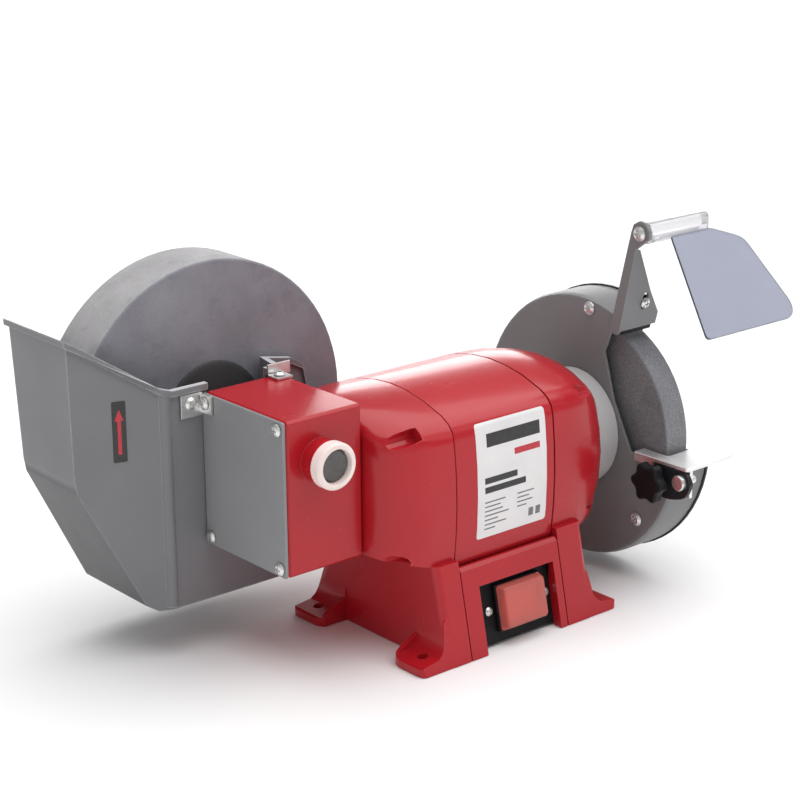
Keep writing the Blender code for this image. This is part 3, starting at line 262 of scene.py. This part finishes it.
def plastic(name, light, dark, gloss, texture):
    """Moulded plastic with a fine spark-eroded grain and paler rubbed edges."""
    f = Finish(name)
    tone = f.mix(f.ramp(f.noise(70.0), (0.38, 0.0), (0.66, 1.0)), light, dark)
    worn = tuple(min(1.0, c * 1.8 + 0.03) for c in light)
    tone = f.mix(f.math("MULTIPLY", f.edges(0.5 * MM), 0.35), tone, worn)
    f.colour(tone)
    f.roughness(f.noise(240.0), gloss - 0.05, gloss + 0.10)
    f.bump((f.noise(2600.0, 2.0), texture, 0.05 * MM),
           (f.noise(160.0, 2.0), texture * 0.4, 0.10 * MM))
    return f.set(Specular_IOR_Level=0.2)


def stone(name, axis, shaded_side_tone, lit_rim_tone, grit, contrast):
    """Bonded abrasive: even fine grit and faint clouds, with painted light: the tread painted
    paler as a painted highlight and the flat faces painted darker as painted shade.
    """
    f = Finish(name)
    # painted light: faces turned from the axis get the paler tone as a painted highlight, faces
    # looking along the axis the darker tone as painted shade
    across = f.math("ABSOLUTE", f.facing(axis), 0.0)
    tone = f.mix(f.ramp(across, (0.45, 0.0), (0.75, 1.0)), lit_rim_tone, shaded_side_tone)
    clouds = f.ramp(f.noise(26.0, 4.0, 0.6), (0.36, 0.88), (0.64, 1.08))
    stains = f.ramp(f.noise(90.0, 3.0, 0.6), (0.34, 0.91), (0.46, 1.0))
    grains = f.noise(grit, 3.0, 0.7)
    specks = f.ramp(grains, (0.36, 1.0 - contrast), (0.66, 1.0 + contrast))
    for shade in (clouds, stains, specks):
        tone = f.mix(1.0, tone, shade, "MULTIPLY")
    pores = f.ramp(f.cells(grit * 0.35), (0.10, 0.0), (0.30, 1.0))
    solid = f.math("ADD", f.math("MULTIPLY", pores, contrast), 1.0 - contrast)
    f.colour(f.mix(solid, scaled(shaded_side_tone, 0.3), tone))
    f.roughness(grains, 0.80, 0.98)
    f.bump((grains, 0.35, 0.20 * MM), (pores, 0.25, 0.20 * MM))
    return f.set(Specular_IOR_Level=0.2)


def clear(name, tint, gloss, through, ior):
    """Clear plastic with faint moulding flow and fine scuffs; through is the share let through."""
    f = Finish(name)
    scuffs = f.noise(1.0, 4.0, vector=f.stretched((900.0, 120.0, 900.0)))
    flow = f.ramp(f.noise(22.0, 2.0), (0.35, 0.0), (0.65, 1.0))
    f.colour(f.mix(flow, tint, scaled(tint, 0.95)))
    f.roughness(scuffs, gloss, gloss + 0.08)
    f.bump((f.noise(30.0, 2.0), 0.05, 0.3 * MM), (scuffs, 0.05, 0.02 * MM))
    return f.set(Transmission_Weight=through, IOR=ior)


def lamination(name):
    """Stacked electrical sheet: thin dark lines across the shaft's axis."""
    f = Finish(name)
    lines = f.wave(330.0, 0.6, wave_type="BANDS", bands_direction="X")
    f.colour(f.mix(lines, (0.10, 0.10, 0.11), (0.34, 0.34, 0.36)))
    f.roughness(f.noise(300.0), 0.35, 0.55)
    f.bump((lines, 0.4, 0.08 * MM))
    return f.set(Metallic=0.8)


def copper(name):
    """Varnished winding wire laid round the ring."""
    f = Finish(name)
    turns = f.wave(300.0, 1.5, wave_type="RINGS", rings_direction="X")
    f.colour(f.mix(turns, (0.16, 0.05, 0.02), (0.66, 0.27, 0.11)))
    f.roughness(f.noise(400.0), 0.22, 0.38)
    f.bump((turns, 0.5, 0.25 * MM))
    return f.set(Metallic=0.9, Coat_Weight=0.4)


PLASTIC_IOR = 1.49
FILM_IOR = 1.35

finishes = {f.name: f for f in (
    paint("red_paint", (0.46, 0.012, 0.020), (0.41, 0.010, 0.017), (0.72, 0.12, 0.14),
          gloss=0.24, peel=0.05, rub=0.20, coat=0.20),
    # the trough's grey: a painted highlight on up-facing faces and square edges, painted shade on
    # down-facing faces
    paint("grey_paint", (0.215, 0.215, 0.227), (0.185, 0.185, 0.196), (0.62, 0.62, 0.64),
          gloss=0.40, peel=0.16, rub=0.85, painted_light_share=0.9),
    paint("guard_grey", (0.225, 0.225, 0.230), (0.190, 0.190, 0.195), (0.45, 0.45, 0.46),
          gloss=0.40, peel=0.12, rub=0.45),
    paint("neck_grey", (0.60, 0.59, 0.59), (0.54, 0.53, 0.53), (0.60, 0.60, 0.60),
          gloss=0.36, peel=0.12, rub=0.40),
    paint("plate_grey", (0.270, 0.272, 0.280), (0.240, 0.242, 0.250), (0.50, 0.50, 0.51),
          gloss=0.36, peel=0.08, rub=0.40),
    paint("dark_steel", (0.022, 0.022, 0.025), (0.015, 0.015, 0.017), (0.10, 0.10, 0.11),
          gloss=0.40, peel=0.12, rub=0.35),
    paint("flange_black", (0.060, 0.060, 0.062), (0.048, 0.048, 0.050), (0.16, 0.16, 0.17),
          gloss=0.42, peel=0.12, rub=0.35),
    metal("zinc", (0.86, 0.85, 0.83), (0.66, 0.66, 0.66), gloss=0.34, lines=(160.0, 900.0, 900.0)),
    metal("table_zinc", (0.93, 0.93, 0.92), (0.84, 0.84, 0.84),
          gloss=0.46, lines=(900.0, 120.0, 900.0)),
    metal("shaft_end", (0.16, 0.155, 0.15), (0.11, 0.105, 0.10),
          gloss=0.45, lines=(300.0, 300.0, 300.0)),
    metal("steel", (0.66, 0.66, 0.67), (0.46, 0.46, 0.48),
          gloss=0.32, lines=(2400.0, 120.0, 120.0)),
    metal("bronze", (0.66, 0.43, 0.19), (0.40, 0.24, 0.10),
          gloss=0.34, lines=(120.0, 1800.0, 120.0)),
    lamination("lamination"),
    copper("copper"),
    plastic("capacitor", (0.66, 0.66, 0.64), (0.58, 0.58, 0.57), gloss=0.38, texture=0.10),
    plastic("black_plastic", (0.010, 0.010, 0.012), (0.006, 0.006, 0.007),
            gloss=0.46, texture=0.20),
    plastic("rocker_red", (0.80, 0.035, 0.022), (0.70, 0.026, 0.018), gloss=0.22, texture=0.05),
    clear("clear", (0.27, 0.29, 0.38), gloss=0.03, through=0.80, ior=PLASTIC_IOR),
    clear("holder", (0.90, 0.90, 0.92), gloss=0.16, through=0.72, ior=PLASTIC_IOR),
    clear("cover_red", (0.98, 0.28, 0.24), gloss=0.12, through=0.62, ior=FILM_IOR),
    plastic("cream_plastic", (0.93, 0.79, 0.75), (0.86, 0.72, 0.68), gloss=0.34, texture=0.06),
    # both wheels: tread painted paler as a painted highlight, flat faces painted darker as painted
    # shade
    stone("grey_stone", "Y", (0.265, 0.265, 0.295), (0.42, 0.41, 0.42),
          grit=1500.0, contrast=0.12),
    stone("dry_stone", "X", (0.195, 0.195, 0.205), (0.27, 0.27, 0.285),
          grit=1300.0, contrast=0.28),
)}

# ---------------------------------------------------------------- CAD nodes

ROUNDING = {                     # width of the rounded edges in mm, by material slot
    "red_paint": 0.8, "grey_paint": 0.9, "guard_grey": 0.4, "plate_grey": 0.5, "dark_steel": 0.4,
    "zinc": 0.25, "steel": 0.3, "bronze": 0.2, "black_plastic": 0.3, "rocker_red": 0.3,
    "clear": 0.3, "cream_plastic": 0.4, "grey_stone": 0.6, "dry_stone": 0.4, "capacitor": 0.3,
    "lamination": 0.2, "copper": 0.3, "cover_red": 0.4,
}
SPECIAL = {                      # nodes that look different from the rest of their slot
    "shield_holder": "holder", "guard_neck": "neck_grey", "tool_rest_table": "table_zinc",
    "wet_shaft": "shaft_end", "wet_inner_flange": "flange_black",
}
SHARP = math.radians(28.0)
WELD_DISTANCE = 1e-6
NORMAL_WEIGHT = 80


def soften(obj, width):
    """Round the sharp edges a little and shade the rest smooth."""
    for polygon in obj.data.polygons:
        polygon.use_smooth = True
    weld = obj.modifiers.new("weld", "WELD")
    weld.merge_threshold = WELD_DISTANCE
    bevel = obj.modifiers.new("round", "BEVEL")
    bevel.width = width * MM
    bevel.segments = 2
    bevel.limit_method = "ANGLE"
    bevel.angle_limit = SHARP
    bevel.harden_normals = False
    normals = obj.modifiers.new("normals", "WEIGHTED_NORMAL")
    normals.keep_sharp = False
    normals.weight = NORMAL_WEIGHT


def dress_cad():
    """Give every CAD node its finish and rounded edges."""
    slots = {part["node"]: part["material_slot"] for part in frame["record"]["subparts"]}
    for name, obj in nodes.items():
        slot = slots[name]
        obj.data.materials.clear()
        obj.data.materials.append(finishes[SPECIAL.get(name, slot)].material)
        soften(obj, ROUNDING[slot])


# ---------------------------------------------------------------- labels

IN_FRONT = -0.3                  # y in metres of a plane in front of the whole machine
CORNER_STEPS = 4
BAR_STEPS = 3
LABEL_X = (-26.5, 31.5)
LABEL_Z = (70.5, 144.0)
ROW_PITCH = 2.9
ROW_HEIGHT = 0.9
LEFT_ROWS = (17.0, 13.0, 15.0, 20.0, 11.0, 18.0, 9.0)
RIGHT_ROWS = (14.0, 10.0, 13.0, 8.0)
STICKER_X = (-208.6, -200.4)
STICKER_Z = (131.5, 169.5)
INKS = {                         # lighter and darker tone
    "dark": ((0.030, 0.028, 0.030), (0.018, 0.017, 0.018)),
    "red": ((0.56, 0.030, 0.045), (0.46, 0.022, 0.036)),
    "grey": ((0.20, 0.19, 0.20), (0.13, 0.12, 0.13)),
}


def surface_of(name):
    """A CAD node's surface, for rays to meet."""
    mesh = nodes[name].data
    return BVHTree.FromPolygons([v.co for v in mesh.vertices], [p.vertices for p in mesh.polygons])


def decal(name, target, flat, lift, thickness, finish):
    """A thin closed slab laid on a front-facing surface; flat is (points in x and z, faces)."""
    tree = surface_of(target)
    points, faces = flat
    bm = bmesh.new()
    lifted = []
    for x, z in points:
        start = Vector((x * MM, IN_FRONT, z * MM))
        place, normal, _, _ = tree.ray_cast(start, Vector((0, 1, 0)))
        if normal.y > 0:
            normal = -normal
        under = bm.verts.new(place + normal * lift * MM)
        lifted.append((under, bm.verts.new(place + normal * (lift + thickness) * MM)))
    sides = []
    for face in faces:
        bm.faces.new([lifted[i][0] for i in reversed(face)])
        bm.faces.new([lifted[i][1] for i in face])
        sides += zip(face, face[1:] + face[:1])
    shared = set(sides)
    for a, b in sides:
        if (b, a) not in shared:
            bm.faces.new([lifted[a][0], lifted[b][0], lifted[b][1], lifted[a][1]])
    bmesh.ops.recalc_face_normals(bm, faces=bm.faces)
    mesh = bpy.data.meshes.new(name)
    bm.to_mesh(mesh)
    bm.free()
    obj = bpy.data.objects.new(name, mesh)
    scene.collection.objects.link(obj)
    mesh.materials.append(finish.material)
    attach(obj, "grinder_body")


def rounded_sheet(x, z, radius, columns, rows):
    """A grid of points over a rectangle with rounded corners, as (points, faces)."""
    rise = [radius * (1 - math.cos(math.pi / 2 * i / CORNER_STEPS)) for i in range(CORNER_STEPS)]
    heights = [z[0] + r for r in rise]
    heights += [z[0] + radius + (z[1] - z[0] - 2 * radius) * i / rows for i in range(rows + 1)]
    heights += [z[1] - r for r in reversed(rise)]
    points = []
    for height in heights:
        near = min(height - z[0], z[1] - height)
        inset = 0.0
        if near < radius:
            inset = radius - math.sqrt(max(radius ** 2 - (radius - near) ** 2, 0.0))
        for i in range(columns + 1):
            share = i / columns
            points.append((x[0] + inset + (x[1] - x[0] - 2 * inset) * share, height))
    width = columns + 1
    faces = [[r * width + c, r * width + c + 1, (r + 1) * width + c + 1, (r + 1) * width + c]
             for r in range(len(heights) - 1) for c in range(columns)]
    return points, faces


def bars(rectangles):
    """Several printed bars, each split along its height so that it follows the surface."""
    points = []
    faces = []
    for x0, z0, x1, z1 in rectangles:
        for i in range(BAR_STEPS):
            low = z0 + (z1 - z0) * i / BAR_STEPS
            high = z0 + (z1 - z0) * (i + 1) / BAR_STEPS
            start = len(points)
            points += [(x0, low), (x1, low), (x1, high), (x0, high)]
            faces.append([start, start + 1, start + 2, start + 3])
    return points, faces


def merged(flat):
    """Join points that coincide, so that neighbouring faces share an edge."""
    points, faces = flat
    index = {}
    kept = []
    renumber = []
    for point in points:
        key = (round(point[0], 4), round(point[1], 4))
        if key not in index:
            index[key] = len(kept)
            kept.append(point)
        renumber.append(index[key])
    return kept, [[renumber[i] for i in face] for face in faces]


def label_film():
    """White printed film, a little uneven."""
    film = Finish("label_film")
    blotches = film.ramp(film.noise(30.0), (0.35, 0.0), (0.7, 1.0))
    film.colour(film.mix(blotches, (0.80, 0.78, 0.78), (0.72, 0.70, 0.71)))
    film.roughness(film.noise(200.0), 0.32, 0.44)
    return film.bump((film.noise(1500.0), 0.10, 0.03 * MM))


def printing_ink(name):
    """Printed ink with a faint screen grain."""
    ink = Finish("ink_" + name)
    ink.colour(ink.mix(ink.ramp(ink.noise(900.0, 2.0), (0.4, 0.0), (0.6, 1.0)), *INKS[name]))
    return ink.roughness(ink.noise(500.0), 0.28, 0.42)


def rating_label(inks):
    """A plain printed label: a dark band, a red rule and rows of bars, with no lettering."""
    decal("rating_label", "centre_shell", rounded_sheet(LABEL_X, LABEL_Z, 2.0, 8, 30),
          0.10, 0.14, label_film())
    left, right = LABEL_X
    top = LABEL_Z[1]
    dark = [(left + 8.5, top - 15.5, right - 5.0, top - 7.0),
            (left + 6.0, top - 38.5, left + 33.0, top - 34.5),
            (left + 6.0, top - 44.5, left + 40.0, top - 40.5)]
    red = [(right - 27.0, top - 24.5, right - 5.5, top - 20.5)]
    grey = []
    for row, length in enumerate(LEFT_ROWS):
        z = top - 50.0 - row * ROW_PITCH
        grey.append((left + 6.0, z - ROW_HEIGHT, left + 6.0 + length, z))
        if row < len(RIGHT_ROWS):
            grey.append((left + 33.0, z - ROW_HEIGHT, left + 33.0 + RIGHT_ROWS[row], z))
    for x in (right - 15.0, right - 9.0):
        grey.append((x, top - 68.0, x + 4.0, top - 62.5))
    for name, rectangles, slot in (("dark", dark, "black_plastic"), ("red", red, "rocker_red"),
                                   ("grey", grey, "black_plastic")):
        decal("label_bars_" + name, "centre_shell", merged(bars(rectangles)),
              0.24, 0.03, inks[name])


def trough_sticker(inks):
    """A dark sticker with a plain arrow on the trough's slanted wall."""
    decal("trough_sticker", "water_trough", rounded_sheet(STICKER_X, STICKER_Z, 0.8, 3, 6),
          0.08, 0.12, inks["dark"])
    middle = sum(STICKER_X) / 2
    tail = STICKER_Z[0] + 5.0
    neck = STICKER_Z[1] - 12.0
    tip = STICKER_Z[1] - 5.0
    shaft_half = 1.1
    head_half = 2.7
    points = [(middle - shaft_half, tail), (middle + shaft_half, tail),
              (middle + shaft_half, neck), (middle - shaft_half, neck),
              (middle - head_half, neck), (middle + head_half, neck), (middle, tip)]
    decal("trough_arrow", "water_trough", (points, [[0, 1, 2, 3], [4, 5, 6]]),
          0.20, 0.04, inks["red"])


# ---------------------------------------------------------------- stage and light

FLOOR_RADIUS = 14.0
FLOOR_DROP = 0.4 * MM
WORLD_STRENGTH = 0.36
MIDDLE = (0.0, 0.0, 0.12)        # what the area lights point at
AREA_LIGHTS = (                  # name, place, size, power
    ("back right", (1.6, 1.85, 0.62), (1.1, 0.7), 9.0),
    ("front right", (0.9, -1.3, 0.9), (0.6, 0.6), 1.2),
    ("left", (-1.6, -0.5, 0.6), (0.7, 0.7), 0.9),
)
KEY_TOWARDS = (-0.22, 0.10, -1.0)
KEY_POWER = 2.9
KEY_SPREAD = math.radians(80.0)


def add_floor():
    """A wide pale paper just under the machine's feet."""
    bm = bmesh.new()
    bmesh.ops.create_circle(bm, cap_ends=True, segments=96, radius=FLOOR_RADIUS)
    mesh = bpy.data.meshes.new("floor")
    bm.to_mesh(mesh)
    bm.free()
    floor = bpy.data.objects.new("floor", mesh)
    floor.location.z = -FLOOR_DROP
    scene.collection.objects.link(floor)
    sheet = Finish("floor_paper")
    cloud = sheet.ramp(sheet.noise(3.0), (0.4, 0.0), (0.6, 1.0))
    sheet.colour(sheet.mix(cloud, (0.92, 0.92, 0.92), (0.91, 0.91, 0.915)))
    sheet.set(Roughness=0.9, Specular_IOR_Level=0.1)
    mesh.materials.append(sheet.material)


def place_light(name, data, towards):
    """An object for the light, turned to shine that way."""
    light = bpy.data.objects.new(name, data)
    light.rotation_euler = towards.to_track_quat("-Z", "Y").to_euler()
    scene.collection.objects.link(light)
    return light


def add_area(name, place, size, power):
    """A soft box that points at the middle of the machine."""
    data = bpy.data.lights.new(name, "AREA")
    data.shape = "RECTANGLE"
    data.size, data.size_y = size
    data.energy = power
    light = place_light(name, data, Vector(MIDDLE) - Vector(place))
    light.location = place


def add_key():
    """A broad sun, which lights the object and the whole floor alike."""
    data = bpy.data.lights.new("key", "SUN")
    data.energy = KEY_POWER
    data.angle = KEY_SPREAD
    place_light("key", data, Vector(KEY_TOWARDS))


def add_studio():
    """Even white surroundings, the key light and three weaker lights."""
    world = bpy.data.worlds.new("studio")
    scene.world = world
    world.use_nodes = True
    background = world.node_tree.nodes["Background"]
    background.inputs["Color"].default_value = (1.0, 1.0, 1.0, 1.0)
    background.inputs["Strength"].default_value = WORLD_STRENGTH
    add_key()
    for light in AREA_LIGHTS:
        add_area(*light)
    scene.view_settings.view_transform = "Standard"
    scene.view_settings.look = "None"


add_camera()
dress_cad()
inks = {name: printing_ink(name) for name in INKS}
rating_label(inks)
trough_sticker(inks)
add_floor()
add_studio()
